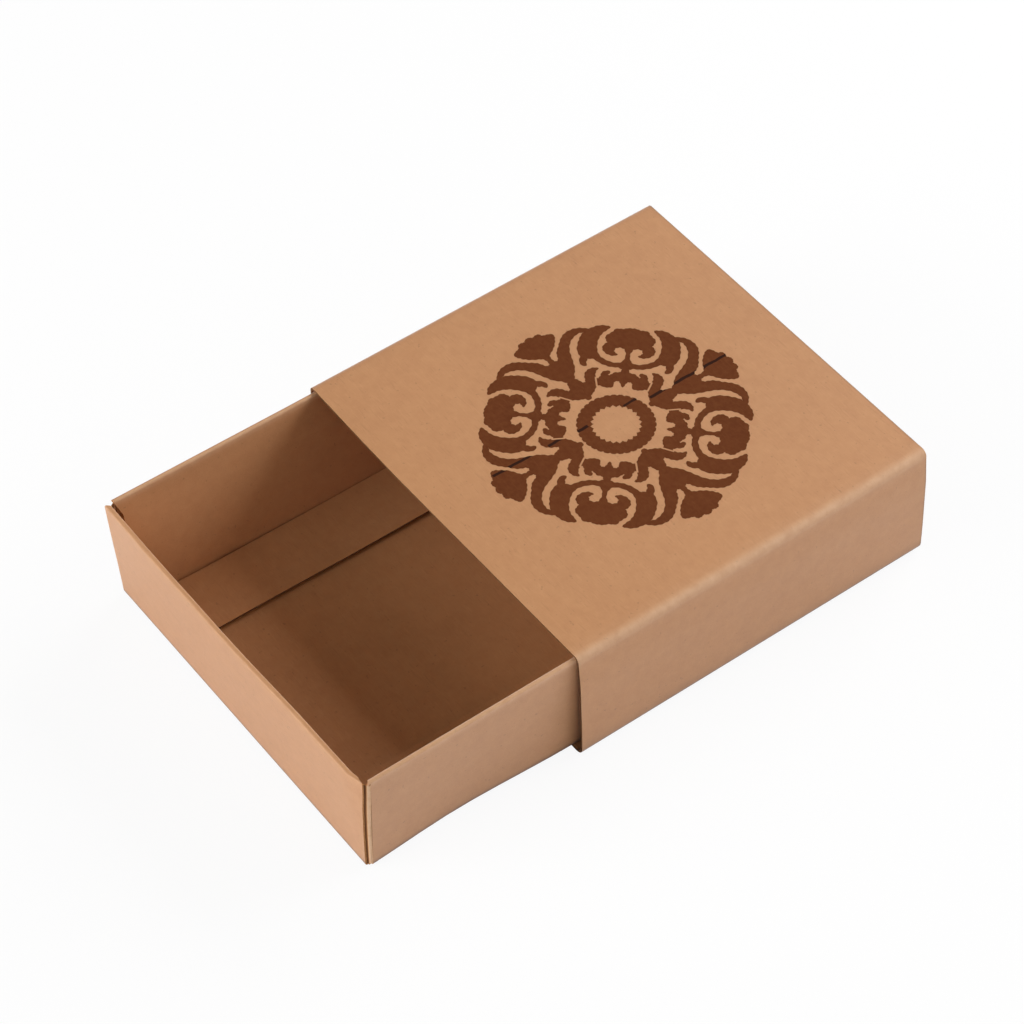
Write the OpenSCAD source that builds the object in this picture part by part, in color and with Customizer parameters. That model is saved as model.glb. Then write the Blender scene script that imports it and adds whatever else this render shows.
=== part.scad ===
// Sliding drawer gift box of kraft board: a sleeve open at both ends, and a tray that slides in it.
// +X is the right side, the tray is drawn out towards -Y, and +Z is up.
// The origin is the middle of the sleeve's underside. Millimetres.

/* [Board] */
// Thickness of the kraft board
board_t = 0.5; // [0.4:0.05:0.6]
// Radius of a crease of the tray, measured on the outside of the bend
crease_r = 0.8; // [0.75:0.05:1]
// Radius of a crease of the sleeve, measured on the outside of the bend
sleeve_crease_r = 1.4; // [0.75:0.05:2]
// Air between sheets that are folded back against each other
sheet_gap = 0.1; // [0.05:0.05:0.2]
// Air beside the edge of a sheet that lies between others
edge_gap = 0.4; // [0.3:0.05:0.8]

/* [Sleeve] */
// Width of the sleeve, across the slide
sleeve_w = 100; // [85:1:140]
// Length of the sleeve, along the slide
sleeve_l = 97; // [85:0.5:140]
// Height of the sleeve
sleeve_h = 32; // [26:1:45]
// Height of the flap that is glued inside the left side
glue_flap_h = 16; // [10:1:20]
// How far the glue flap stops short of each end of the sleeve
glue_flap_inset = 1.5; // [0.5:0.5:4]
// How far each end of the glue flap is cut back at its free edge
glue_flap_taper = 5; // [2:1:10]

/* [Tray] */
// How far the tray stands out of the sleeve
tray_out = 54.4; // [5:0.1:80]
// Gap between the tray and the board on each side of it, when it lies in the middle
side_clear = 0.75; // [0.5:0.05:1]
// How far the tray lies left of the middle
tray_shift = 0.45; // [0:0.05:0.45]
// Gap between the tray and the sleeve's bottom panel
under_clear = 0.2; // [0.15:0.05:0.4]
// Gap between the tray and the sleeve's top panel
over_clear = 0.3; // [0.2:0.05:0.6]
// How far the cut edges of the end walls stop short of the tray's sides
end_inset = 0.7; // [0.5:0.05:1]
// How far the foot of the right side's inner wall leans into the tray
right_lean = 1.8; // [1:0.1:9]
// How far the foot of the left side's inner wall leans into the tray
left_lean = 5.5; // [1:0.1:9]
// Width of the loose flap on the floor along each side
floor_flap_w = 17.4; // [8:0.1:25]
// Air at each end of a floor flap
floor_flap_end_gap = 1; // [0.5:0.1:3]
// Air under a floor flap, and beside its crease
floor_flap_gap = 0.1; // [0.05:0.05:0.2]
// Width of a corner flap, from its crease to its free edge
corner_flap_w = 24; // [12:1:35]
// How far the free edge of a corner flap is cut back at its top and foot
corner_flap_taper = 3; // [1:0.5:6]

/* [Locking tabs] */
// Width of each tab on the foot of an end's inner wall
tab_w = 12; // [8:1:16]
// Distance between the middles of the two tabs of an end
tab_pitch = 46; // [30:1:56]
// Air round a tab in its slot in the floor
slot_gap = 0.15; // [0.1:0.05:0.25]

/* [Printed ornament] */
// Distance from the middle of the ornament to the tip of a fan
ornament_r = 33.2; // [24:0.2:40]
// Middle of the ornament, right of the middle of the top panel
ornament_x = 1.2; // [-3:0.1:3]
// Middle of the ornament, along the slide
ornament_y = -0.9; // [-3:0.1:3]
// Thickness of the ink
ink_t = 0.05; // [0.03:0.01:0.1]
// Number of scallops round the hole of the ring
ring_scallops = 24; // [16:4:32]

/* [Hidden] */
$fn = 48;
KRAFT = [0.76, 0.57, 0.41];
KRAFT_SIDE = [0.68, 0.50, 0.36];
KRAFT_INSIDE = [0.55, 0.38, 0.25];
INK = [0.42, 0.24, 0.13];

// The sleeve's left side is double: the side panel, and the glue flap inside it.
tray_w = sleeve_w - 3 * board_t - 2 * side_clear;
tray_l = sleeve_l;
tray_h = sleeve_h - 2 * board_t - under_clear - over_clear;
tray_x = board_t / 2 - tray_shift;
tray_y = -sleeve_l / 2 - tray_out;
tray_z = board_t + under_clear;

// An end wall is three sheets, a side wall is two at its rim.
second_sheet = board_t + sheet_gap;
third_sheet = 2 * second_sheet;
end_wall_t = third_sheet + board_t;
side_rim_w = second_sheet + board_t;
rim_z = tray_h - board_t;

// Height of the crease of a floor flap, at the flap's upper face.
flap_crease_z = 2 * board_t + floor_flap_gap;

// Half widths and end points that several panels share. The rims of the sides run out to the
// corners, and the rims of the ends stop short of them.
end_wall_half_w = tray_w / 2 - end_inset;
end_rim_half_w = tray_w / 2 - side_rim_w - edge_gap;
side_rim_start = second_sheet;
side_panel_start = second_sheet + crease_r;
inner_start = end_wall_t + edge_gap;

// Outlines of one eighth of the ornament, drawn at a radius of 33.4: from the axis of a fan, above,
// round to the diagonal, where x = y.
OUTLINE_R = 33.4;
SILHOUETTE = [[0, 33.4], [0.6, 33.25], [1.1, 32.75], [1.6, 32.9], [2.4, 33], [3, 32.75],
    [3.25, 32.1], [3.9, 31.75], [4.8, 31.45], [5.5, 30.95], [5.45, 30.2], [4.9, 29.3],
    [4.1, 28.3], [3, 27.3], [1.7, 26.5], [0.9, 25.9], [0.6, 24.8], [0.7, 23.8],
    [1.3, 23.5], [1.9, 24], [2.4, 25.1], [3.2, 26.1], [4.3, 27], [5.4, 28], [6.6, 28.9],
    [8, 29.45], [9.5, 29.5], [11, 29.1], [12.2, 28.3], [13.2, 27.3], [14.4, 27.05],
    [15.8, 26.6], [17, 25.6], [17.6, 24.7], [16.6, 24.45], [15.2, 24.35], [13.9, 23.9],
    [12.5, 23], [11.2, 21.6], [10.3, 20.2], [9.95, 18.6], [10.3, 17], [11.2, 15.3],
    [12.5, 14.4], [13.9, 14.75], [15.2, 15.9], [15.8, 17.2], [15.3, 18.2], [14.3, 18.7],
    [13.4, 18.2], [13.4, 17.4], [13.5, 16.75], [12.7, 17], [11.9, 17.9], [11.6, 19.3],
    [11.9, 20.4], [12.8, 21.1], [14, 21.2], [14.3, 22.2], [14.8, 22.95], [16, 23.15],
    [17.2, 23.2], [18, 23.5], [18.8, 23], [19.5, 22.3], [20.4, 21.9], [21.2, 21.2]];
LEAF_GAP = [[11.7, 27.1], [10.6, 27.55], [9.2, 27.4], [7.7, 26.8], [6.3, 25.6], [5.2, 24],
    [4.5, 22.4], [3.7, 20.6], [2.9, 19.1], [1.8, 17.9], [1.05, 16.7], [1.5, 15.7],
    [1.8, 14.7], [2.4, 14.4], [2.9, 15.2], [3.6, 16.3], [4.6, 17], [5.8, 17.1],
    [6.8, 16.7], [7.4, 16], [6.5, 15.75], [5.6, 15], [4.95, 14], [5.4, 13.6],
    [6.3, 13.9], [7.1, 14.5], [8.2, 14.4], [8.9, 13.8], [8.7, 13.35], [7.9, 13.2],
    [7.9, 12.8], [8.8, 12.75], [9.6, 12.8], [10, 12.35], [10.7, 12.1], [11.4, 12.5],
    [11.1, 13.5], [10.1, 14.5], [9.2, 15.9], [8.6, 17.4], [8.2, 19.2], [7.2, 19.95],
    [6.3, 19.3], [5.7, 18.3], [5, 18.8], [5.1, 20.2], [6.3, 21.5], [6.8, 23.1],
    [8, 24.7], [9.3, 25.8], [10.4, 26.6]];
HUB_EDGE = [[0, 9.5], [0.6, 9.7], [0.8, 10.3], [1.7, 10.75], [2.8, 11.4], [3.8, 12.2],
    [4.4, 11.6], [4.9, 10.6], [5.6, 9.9], [6.2, 9.5], [6.9, 9.9], [7.4, 10.4],
    [8.1, 10.5], [8.6, 10], [8.4, 9.2], [8, 8]];
RING_R = 9.05;
RING_HOLE_R = 5.55;
SCALLOP_DEPTH = 0.35;
SCALLOP_STEPS = 4;

// ---- ornament ----

// One eighth of the foliage, with the gap inside it.
module foliage_eighth() {
    hub_from_diagonal = [for (i = [len(HUB_EDGE) - 1 : -1 : 0]) HUB_EDGE[i]];
    edge = concat(SILHOUETTE, hub_from_diagonal);
    polygon(
        points = concat(edge, LEAF_GAP),
        paths = [
            [for (i = [0 : len(edge) - 1]) i],
            [for (i = [0 : len(LEAF_GAP) - 1]) len(edge) + i]]);
}

module ring() {
    steps = ring_scallops * SCALLOP_STEPS;
    difference() {
        circle(r = RING_R);
        polygon([
            for (i = [0 : steps - 1])
                let (a = 360 * i / steps, r = RING_HOLE_R + SCALLOP_DEPTH * cos(ring_scallops * a))
                [r * cos(a), r * sin(a)]]);
    }
}

module ornament_print() {
    color(INK)
    translate([ornament_x, ornament_y, sleeve_h])
    linear_extrude(ink_t)
    scale(ornament_r / OUTLINE_R) {
        for (turn = [0 : 90 : 270], flip = [0, 1])
            rotate(turn) mirror([flip, 0, 0]) foliage_eighth();
        ring();
    }
}

// ---- board, creases and placing ----

// A strip of board bent round the origin at radius r, in the quadrant that sx and sy (1 or -1) point to.
module crease(r, sx, sy) {
    intersection() {
        difference() {
            circle(r = r);
            circle(r = r - board_t);
        }
        translate([min(sx, 0) * r, min(sy, 0) * r]) square(r);
    }
}

// A profile drawn in x and z, run along y from y1 to y2.
module along_y(y1, y2) {
    translate([0, y2, 0]) rotate([90, 0, 0]) linear_extrude(y2 - y1) children();
}

// A profile drawn in y and z, run along x from x1 to x2.
module along_x(x1, x2) {
    translate([x1, 0, 0]) rotate([90, 0, 90]) linear_extrude(x2 - x1) children();
}

// A flat sheet from corner a to corner b.
module sheet(a, b) {
    translate(a) cube(b - a);
}

// Puts the tray, which is drawn with its front at y = 0 and its underside at z = 0, in its place.
module in_tray() {
    translate([tray_x, tray_y, tray_z]) children();
}

// The same panel at the tray's left side, or at its back.
module left_side() {
    mirror([1, 0, 0]) children();
}

module at_back() {
    translate([0, tray_l, 0]) mirror([0, 1, 0]) children();
}

// ---- sleeve ----

module sleeve_top_panel() {
    color(KRAFT)
    sheet([-sleeve_w / 2 + sleeve_crease_r, -sleeve_l / 2, sleeve_h - board_t],
        [sleeve_w / 2 - sleeve_crease_r, sleeve_l / 2, sleeve_h]);
}

module sleeve_bottom_panel() {
    color(KRAFT)
    sheet([-sleeve_w / 2 + board_t + sleeve_crease_r, -sleeve_l / 2, 0],
        [sleeve_w / 2 - sleeve_crease_r, sleeve_l / 2, board_t]);
}

module sleeve_right_side() {
    color(KRAFT_SIDE)
    along_y(-sleeve_l / 2, sleeve_l / 2) {
        translate([sleeve_w / 2 - board_t, sleeve_crease_r])
            square([board_t, sleeve_h - 2 * sleeve_crease_r]);
        translate([sleeve_w / 2 - sleeve_crease_r, sleeve_h - sleeve_crease_r])
            crease(sleeve_crease_r, 1, 1);
        translate([sleeve_w / 2 - sleeve_crease_r, sleeve_crease_r])
            crease(sleeve_crease_r, 1, -1);
    }
}

// The left side ends in a cut edge below, outside the glue flap.
module sleeve_left_side() {
    color(KRAFT_SIDE)
    along_y(-sleeve_l / 2, sleeve_l / 2) {
        translate([-sleeve_w / 2, 0]) square([board_t, sleeve_h - sleeve_crease_r]);
        translate([-sleeve_w / 2 + sleeve_crease_r, sleeve_h - sleeve_crease_r])
            crease(sleeve_crease_r, -1, 1);
    }
}

module sleeve_glue_flap() {
    flap_x = -sleeve_w / 2 + board_t;
    half_l = sleeve_l / 2 - glue_flap_inset;
    color(KRAFT_INSIDE) {
        along_x(flap_x, flap_x + board_t)
            polygon([[-half_l, sleeve_crease_r], [half_l, sleeve_crease_r],
                [half_l - glue_flap_taper, glue_flap_h], [glue_flap_taper - half_l, glue_flap_h]]);
        along_y(-half_l, half_l)
            translate([flap_x + sleeve_crease_r, sleeve_crease_r])
            crease(sleeve_crease_r, -1, -1);
    }
}

// ---- tray ----

module tray_floor() {
    half_w = tray_w / 2 - crease_r;
    color(KRAFT_INSIDE)
    in_tray()
    difference() {
        sheet([-half_w, crease_r, 0], [half_w, tray_l - crease_r, board_t]);
        slots();
        at_back() slots();
    }
}

module slots() {
    for (side = [-1, 1])
        translate([side * tab_pitch / 2 - tab_w / 2 - slot_gap, third_sheet - slot_gap, -board_t])
            cube([tab_w + 2 * slot_gap, board_t + 2 * slot_gap, 3 * board_t]);
}

// The right side's outer wall, with the crease that joins it to the floor.
module side_outer_wall() {
    color(KRAFT_SIDE)
    along_y(side_panel_start, tray_l - side_panel_start) {
        translate([tray_w / 2 - board_t, crease_r]) square([board_t, rim_z - crease_r]);
        translate([tray_w / 2 - crease_r, crease_r]) crease(crease_r, 1, -1);
    }
}

// A strip on top of the folded wall, as wide as w, with both of its long edges rounded by the creases.
module rim_profile(w) {
    translate([board_t, 0]) square([w - 2 * board_t, board_t]);
    intersection() {
        square([w, board_t]);
        union() {
            translate([board_t, 0]) circle(r = board_t);
            translate([w - board_t, 0]) circle(r = board_t);
        }
    }
}

module side_rim() {
    color(KRAFT)
    along_y(side_rim_start, tray_l - side_rim_start)
        translate([tray_w / 2 - side_rim_w, rim_z]) rim_profile(side_rim_w);
}

// The right side's inner wall leans inwards and stands on the floor, outside the flap's crease.
module side_inner_wall(lean) {
    top_in = tray_w / 2 - side_rim_w;
    foot_in = top_in - lean;
    color(KRAFT_INSIDE)
    along_y(inner_start, tray_l - inner_start)
        polygon([[top_in, rim_z], [top_in + board_t, rim_z], [foot_in + board_t, board_t],
            [foot_in, board_t], [foot_in, flap_crease_z]]);
}

// The right side's floor flap, loose on the floor and joined to the inner wall by its crease.
module side_floor_flap(lean) {
    crease_x = tray_w / 2 - side_rim_w - lean;
    start = inner_start + floor_flap_end_gap;
    color(KRAFT_INSIDE)
    sheet([crease_x - floor_flap_w, start, flap_crease_z - board_t],
        [crease_x - floor_flap_gap, tray_l - start, flap_crease_z]);
}

// The front's outer wall, with the crease that joins it to the floor.
module end_outer_wall() {
    color(KRAFT)
    along_x(-end_wall_half_w, end_wall_half_w) {
        translate([0, crease_r]) square([board_t, rim_z - crease_r]);
        translate([crease_r, crease_r]) crease(crease_r, -1, -1);
    }
}

module end_rim() {
    color(KRAFT)
    along_x(-end_rim_half_w, end_rim_half_w)
        translate([0, rim_z]) rim_profile(end_wall_t);
}

// The front's inner wall stands on the floor, with two tabs through the floor's slots.
module end_inner_wall() {
    half_w = tray_w / 2 - board_t - edge_gap;
    color(KRAFT_INSIDE) {
        sheet([-half_w, third_sheet, board_t], [half_w, end_wall_t, rim_z]);
        for (side = [-1, 1])
            translate([side * tab_pitch / 2 - tab_w / 2, third_sheet, 0])
                cube([tab_w, board_t, board_t]);
    }
}

// The flap at the front right corner, between the outer and the inner front wall. It is joined to
// the right side's outer wall by an upright crease.
module corner_flap() {
    foot_z = board_t + edge_gap;
    top_z = rim_z - edge_gap;
    crease_x = tray_w / 2 - crease_r;
    color(KRAFT_SIDE) {
        translate([crease_x, side_panel_start, foot_z])
            linear_extrude(top_z - foot_z) crease(crease_r, 1, -1);
        translate([0, second_sheet + board_t, 0])
            rotate([90, 0, 0])
            linear_extrude(board_t)
            polygon([[crease_x, foot_z], [crease_x, top_z],
                [crease_x - corner_flap_w, top_z - corner_flap_taper],
                [crease_x - corner_flap_w, foot_z + corner_flap_taper]]);
    }
}

module tray_right_outer_wall() { in_tray() side_outer_wall(); }
module tray_right_rim() { in_tray() side_rim(); }
module tray_right_inner_wall() { in_tray() side_inner_wall(right_lean); }
module tray_right_floor_flap() { in_tray() side_floor_flap(right_lean); }
module tray_left_outer_wall() { in_tray() left_side() side_outer_wall(); }
module tray_left_rim() { in_tray() left_side() side_rim(); }
module tray_left_inner_wall() { in_tray() left_side() side_inner_wall(left_lean); }
module tray_left_floor_flap() { in_tray() left_side() side_floor_flap(left_lean); }
module tray_front_outer_wall() { in_tray() end_outer_wall(); }
module tray_front_rim() { in_tray() end_rim(); }
module tray_front_inner_wall() { in_tray() end_inner_wall(); }
module tray_back_outer_wall() { in_tray() at_back() end_outer_wall(); }
module tray_back_rim() { in_tray() at_back() end_rim(); }
module tray_back_inner_wall() { in_tray() at_back() end_inner_wall(); }
module front_right_corner_flap() { in_tray() corner_flap(); }
module front_left_corner_flap() { in_tray() left_side() corner_flap(); }
module back_right_corner_flap() { in_tray() at_back() corner_flap(); }
module back_left_corner_flap() { in_tray() at_back() left_side() corner_flap(); }

sleeve_top_panel();
sleeve_right_side();
sleeve_bottom_panel();
sleeve_left_side();
sleeve_glue_flap();
ornament_print();
tray_floor();
tray_right_outer_wall();
tray_right_rim();
tray_right_inner_wall();
tray_right_floor_flap();
tray_left_outer_wall();
tray_left_rim();
tray_left_inner_wall();
tray_left_floor_flap();
tray_front_outer_wall();
tray_front_rim();
tray_front_inner_wall();
tray_back_outer_wall();
tray_back_rim();
tray_back_inner_wall();
front_right_corner_flap();
front_left_corner_flap();
back_right_corner_flap();
back_left_corner_flap();
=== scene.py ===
import math
import bmesh
import bpy
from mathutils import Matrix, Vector


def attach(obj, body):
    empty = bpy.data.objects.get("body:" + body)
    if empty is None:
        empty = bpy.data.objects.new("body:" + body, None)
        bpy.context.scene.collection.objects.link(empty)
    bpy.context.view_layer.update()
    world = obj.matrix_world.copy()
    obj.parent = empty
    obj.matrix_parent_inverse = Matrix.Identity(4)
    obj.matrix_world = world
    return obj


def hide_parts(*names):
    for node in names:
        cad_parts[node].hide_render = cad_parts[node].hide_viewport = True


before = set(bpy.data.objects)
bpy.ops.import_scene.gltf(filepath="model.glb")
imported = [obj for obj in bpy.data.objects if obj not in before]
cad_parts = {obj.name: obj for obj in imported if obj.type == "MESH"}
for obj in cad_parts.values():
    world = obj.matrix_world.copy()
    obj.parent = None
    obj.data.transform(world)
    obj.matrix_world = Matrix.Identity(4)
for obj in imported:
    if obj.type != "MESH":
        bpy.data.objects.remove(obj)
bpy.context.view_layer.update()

mm = 0.001
near = 0.01  # mm, how close to a plane or a crease still counts as on it
rowGap = 1  # mm, tells one row of a cage's points from the next
boardThickness = 0.5  # mm, every sheet of the box
trayPlace = Vector((-0.2, -102.9, 0.7))  # mm, where the tray's front and underside meet on its middle line


def openMesh():
    return bmesh.from_edit_mesh(bpy.context.edit_object.data)


def selectFaces(test):
    # test gets the middle of a face, in mm
    bpy.ops.mesh.select_mode(type="FACE")
    bpy.ops.mesh.select_all(action="DESELECT")
    for face in openMesh().faces:
        if test(face.calc_center_median() / mm):
            face.select_set(True)
    bmesh.update_edit_mesh(bpy.context.edit_object.data)


def selectEdges(test):
    # test gets both ends of an edge, in mm
    bpy.ops.mesh.select_mode(type="EDGE")
    bpy.ops.mesh.select_all(action="DESELECT")
    for edge in openMesh().edges:
        if test(edge.verts[0].co / mm, edge.verts[1].co / mm):
            edge.select_set(True)
    bmesh.update_edit_mesh(bpy.context.edit_object.data)


def cut(test, point, normal, drop=False):
    # cuts the faces that pass the test, and drops what lies past the cut
    selectFaces(test)
    bpy.ops.mesh.bisect(plane_co=Vector(point) * mm, plane_no=Vector(normal).normalized(), clear_outer=drop)


def dropFaces(test):
    selectFaces(test)
    bpy.ops.mesh.delete(type="FACE")


def editAll():
    bpy.ops.object.mode_set(mode="EDIT")
    bpy.ops.mesh.select_all(action="SELECT")


def leaveEdit():
    bpy.ops.object.mode_set(mode="OBJECT")


def pick(piece):
    bpy.ops.object.select_all(action="DESELECT")
    piece.select_set(True)
    bpy.context.view_layer.objects.active = piece


def applyModifier(piece, kind, **settings):
    pick(piece)
    modifier = piece.modifiers.new("Shape", kind)
    for key, value in settings.items():
        setattr(modifier, key, value)
    bpy.ops.object.modifier_apply(modifier=modifier.name)


def placePiece(piece, location=(0, 0, 0), turn=(0, 0, 0)):
    # puts a piece in place, in mm and degrees, and brings its origin back to the middle of the scene
    pick(piece)
    piece.location = Vector(location) * mm
    piece.rotation_euler = [math.radians(angle) for angle in turn]
    bpy.ops.object.transform_apply(location=True, rotation=True, scale=True)


def copyPiece(piece, name):
    pick(piece)
    bpy.ops.object.duplicate()
    twin = bpy.context.object
    twin.name = twin.data.name = name
    return twin


def smooth(piece, angle=35):
    pick(piece)
    bpy.ops.object.shade_smooth_by_angle(angle=math.radians(angle))


folding = {
    "segments": 5,  # of each rounded crease
    "besideCrease": (1.6, 2.4, 4.5),  # mm, the close cuts beside a crease
    "openFrom": 5,  # mm from a crease, where the even cuts start
    "shortPanel": 6,  # mm, a panel shorter than this gets no cuts
}


def onPanel(start, end):
    way = end - start
    length = way.length
    way.normalize()

    def test(middle):
        fromStart = Vector((middle.x, 0, middle.z)) - start
        along = fromStart.dot(way)
        return 0 < along < length and (fromStart - along * way).length < near
    return test


def atCorner(corner):
    return lambda a, b: all(abs(p.x - corner.x) < near and abs(p.z - corner.z) < near for p in (a, b))


def foldBoard(name, corners, radii, run, slices, cutsAlong=()):
    # corners: the outer face of the folded strip, as x and z in mm. run: where it starts and ends along y
    # slices: how many even cuts across each panel, and along the strip
    # cutsAlong: more cuts across the strip, where ends are trimmed
    corners = [Vector((x, 0, z)) for x, z in corners]
    start, end = corners[:2]
    side = end - start
    middle = (start + end) / 2 + Vector((0, (run[0] + run[1]) / 2, 0))
    bpy.ops.object.select_all(action="DESELECT")
    bpy.ops.mesh.primitive_plane_add(size=1, location=middle * mm,
                                     rotation=(0, -math.atan2(side.z, side.x), 0))
    board = bpy.context.object
    board.name = board.data.name = name
    board.scale = (side.length * mm, (run[1] - run[0]) * mm, 1)
    bpy.ops.object.transform_apply(location=True, rotation=True, scale=True)
    bpy.ops.object.mode_set(mode="EDIT")
    for here, there in zip(corners[1:], corners[2:]):
        selectEdges(atCorner(here))
        bpy.ops.mesh.extrude_region_move(TRANSFORM_OT_translate={"value": (there - here) * mm})

    # the outer face is on the right hand of the strip's way round
    bpy.ops.mesh.select_all(action="SELECT")
    bpy.ops.mesh.normals_make_consistent(inside=False)
    first = min(openMesh().faces, key=lambda face: (face.calc_center_median() / mm - middle).length)
    if first.normal.dot(Vector((side.z, 0, -side.x))) < 0:
        bpy.ops.mesh.flip_normals()
    for corner, radius in zip(corners[1:-1], radii):
        selectEdges(atCorner(corner))
        bpy.ops.mesh.bevel(offset=radius * mm, segments=folding["segments"], profile=0.5, affect="EDGES")

    # close cuts beside each crease and wider ones between, so that the panel can bend
    beside, openFrom = folding["besideCrease"], folding["openFrom"]
    for begin, finish in zip(corners, corners[1:]):
        length = (finish - begin).length
        if length < folding["shortPanel"]:
            continue
        way = (finish - begin) / length
        even = [openFrom + (length - 2 * openFrom) * k / slices[0] for k in range(slices[0] + 1)]
        for place in list(beside) + even + [length - step for step in beside]:
            cut(onPanel(begin, finish), begin + way * place, way)
    even = [run[0] + (run[1] - run[0]) * k / slices[1] for k in range(1, slices[1])]
    for place in even + list(cutsAlong):
        cut(lambda middle: True, (0, place, 0), (0, 1, 0))
    return board


# reach spreads each mark; shaded gives a gap its painted shade; the last value paints the back edge darker
wearAndShade = {"reach": 1.1, "shaded": -0.85, "creaseMark": -0.5}  # mm from a crease, and what the attribute gets


def markCreases(board, path, marks, reach=wearAndShade["reach"], shaded=(0, 0), darkEdgeFrom=None):
    # the board's finish reads this attribute: above 0 on a worn crease, paler with a painted highlight, below
    # 0 for painted shade
    # marks: one for each crease of the path
    # shaded: a strip that lies in a narrow gap, painted with shade, from one distance off the middle to
    # another
    # the last argument: past this place along y the edge gets a painted dark line
    leaveEdit()
    creases = [Vector(corner) for corner in path[1:-1]]
    crease = board.data.attributes.new("crease", "FLOAT", "POINT")
    for vertex, spot in zip(board.data.vertices, crease.data):
        place = Vector((vertex.co.x, vertex.co.z)) / mm
        gaps = [(place - corner).length for corner in creases]
        if gaps:
            spot.value = math.exp(-(min(gaps) / reach) ** 2) * marks[gaps.index(min(gaps))]
        if shaded[0] < abs(place.x) < shaded[1]:
            spot.value = wearAndShade["shaded"]
        if darkEdgeFrom and vertex.co.y / mm > darkEdgeFrom:
            spot.value += wearAndShade["creaseMark"]


def thicken(board, finish, edge):
    # the sheet's thickness goes inwards from its outer face, and its cut edges get their own finish
    board.data.materials.append(finish)
    board.data.materials.append(edge)
    applyModifier(board, "SOLIDIFY", thickness=boardThickness * mm, offset=-1, use_even_offset=True,
                  use_rim=True, material_offset_rim=1)


def warp(pieces, low, high, counts, shift, kind="KEY_CARDINAL"):
    # a cage round the pieces; shift gives how far each of its points moves, all in mm
    low, high = Vector(low), Vector(high)
    bpy.ops.object.select_all(action="DESELECT")
    bpy.ops.object.add(type="LATTICE", location=(low + high) / 2 * mm)
    cage = bpy.context.object
    cage.scale = (high - low) * mm
    cage.data.interpolation_type_u = cage.data.interpolation_type_v = cage.data.interpolation_type_w = kind
    cage.data.points_u, cage.data.points_v, cage.data.points_w = counts
    bpy.context.view_layer.update()
    for point in cage.data.points:
        moved = Vector(shift(cage.matrix_world @ point.co / mm)) * mm
        point.co_deform = [at + step / size for at, step, size in zip(point.co, moved, cage.scale)]
    for piece in pieces:
        applyModifier(piece, "LATTICE", object=cage)
    bpy.data.objects.remove(cage)


def steps(places, values):
    # straight steps between values given at a few places
    def at(place):
        if place <= places[0]:
            return values[0]
        for a, b, first, second in zip(places, places[1:], values, values[1:]):
            if place <= b:
                return first + (second - first) * (place - a) / (b - a)
        return values[-1]
    return at


noiseMiddle = 0.5  # a noise lies evenly about this level
fibreLevels = (0.69, 0.76)  # the noise at which a fibre starts and is full, before its share is taken off


class Wire:
    # one socket of a finish; sums on it add Math nodes
    def __init__(self, paint, socket):
        self.paint = paint
        self.socket = socket

    def __add__(self, other):
        return self.paint.maths("ADD", self, other)

    def __sub__(self, other):
        return self.paint.maths("SUBTRACT", self, other)

    def __rsub__(self, other):
        return self.paint.maths("SUBTRACT", other, self)

    def __mul__(self, other):
        return self.paint.maths("MULTIPLY", self, other)

    __radd__ = __add__
    __rmul__ = __mul__


class Paint:
    # the nodes of one finish, or of the world
    def __init__(self, tree):
        self.tree = tree
        tree.nodes.clear()

    def node(self, kind, settings=None, inputs=None, output=0):
        made = self.tree.nodes.new(kind)
        for key, value in (settings or {}).items():
            if key == "stops":
                self.setStops(made.color_ramp, value)
            else:
                setattr(made, key, value)
        for key, value in (inputs or {}).items():
            if isinstance(value, Wire):
                self.tree.links.new(value.socket, made.inputs[key])
            else:
                made.inputs[key].default_value = value
        return Wire(self, made.outputs[output]) if len(made.outputs) else None

    def setStops(self, ramp, stops):
        while len(ramp.elements) < len(stops):
            ramp.elements.new(0.5)
        for element, (place, level) in zip(ramp.elements, stops):
            element.position = place
            element.color = (level, level, level, 1)

    def maths(self, operation, *values):
        return self.node("ShaderNodeMath", {"operation": operation}, dict(enumerate(values)))

    def place(self):
        return self.node("ShaderNodeTexCoord", output="Object")

    def blend(self, factor, first, second):
        # sockets 0, 6 and 7 are the factor and the two colours
        return self.node("ShaderNodeMix", {"data_type": "RGBA"}, {0: factor, 6: first, 7: second}, 2)

    def ramp(self, value, start, end):
        # from 0 at one level of the value to 1 at another
        return self.node("ShaderNodeValToRGB", {"stops": [(start, 0), (end, 1)]}, {"Fac": value})

    def noise(self, place, size, detail=2, roughness=0.5):
        # size: how large the patches are, in mm
        return self.node("ShaderNodeTexNoise", {}, {"Vector": place, "Scale": 1000 / size, "Detail": detail,
                                                    "Roughness": roughness})

    def fibres(self, place, turn, length, width, share):
        # thin lines of one direction; share: how much of the surface they cover
        laid = self.node("ShaderNodeMapping", {}, {"Vector": place,
                                                   "Rotation": [math.radians(angle) for angle in turn],
                                                   "Scale": (1000 / length, 1000 / width, 1000 / width)})
        found = self.node("ShaderNodeTexNoise", {}, {"Vector": laid, "Scale": 1, "Detail": 1})
        start, full = fibreLevels
        return self.ramp(found, start - share, full - share)

    def bump(self, height, strength, distance):
        # distance: how deep the relief is, in mm
        return self.node("ShaderNodeBump", {}, {"Strength": strength, "Distance": distance * mm,
                                                "Height": height})

    def finish(self, sockets):
        shader = self.node("ShaderNodeBsdfPrincipled", {}, sockets)
        self.node("ShaderNodeOutputMaterial", {}, {"Surface": shader})


def newFinish(name):
    material = bpy.data.materials.new(name)
    material.use_nodes = True
    return material, Paint(material.node_tree)


def tint(colour, shade):
    return tuple(part * shade for part in colour[:3]) + (1,)


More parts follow.
